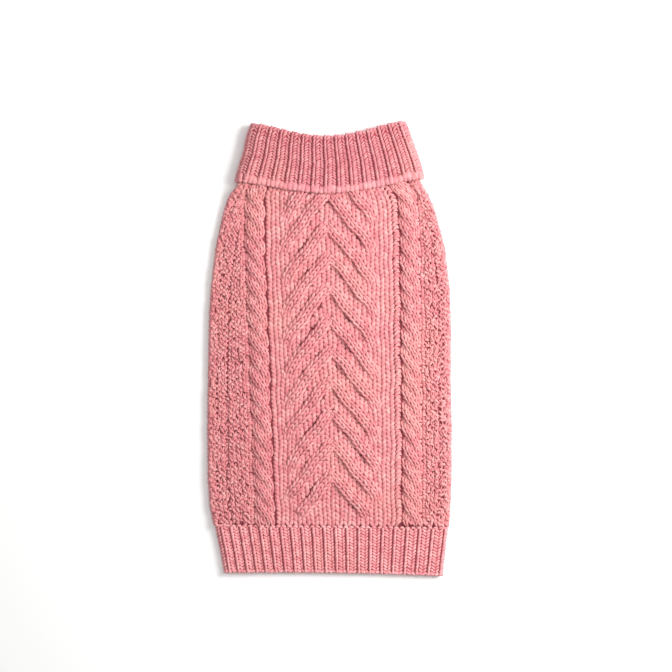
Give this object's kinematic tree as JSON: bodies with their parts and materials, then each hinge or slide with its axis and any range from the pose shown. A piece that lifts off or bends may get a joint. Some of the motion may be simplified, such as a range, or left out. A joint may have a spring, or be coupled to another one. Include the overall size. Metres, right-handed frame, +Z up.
{
  "type": "dog sweater",
  "caption": "Knitted sleeveless sweater for a small dog with a folded rib collar, cabled back, rib hem and leg openings in the belly, laid flat.",
  "frame": {"origin": "on the surface the sweater lies on, under the middle of its outline seen from above", "axes": "+Z up off the surface, +Y from the hem towards the collar, +X across the garment to the viewer's right with the cabled back up and the collar away"},
  "size_m": [0.1826, 0.3422, 0.0138],
  "materials": {
    "cable_knit_yarn": "matt heathered pink acrylic yarn, hand-size stitches in cables, moss stitch and plain knit",
    "plain_knit_yarn": "matt heathered pink acrylic yarn in plain knit",
    "rib_knit_yarn": "matt heathered pink acrylic yarn in elastic two by two rib"
  },
  "bodies": {
    "root": {"back_panel": "cable_knit_yarn", "belly_panel": "plain_knit_yarn", "hem_rib": "rib_knit_yarn", "folded_collar": "rib_knit_yarn"}
  },
  "joints": []
}
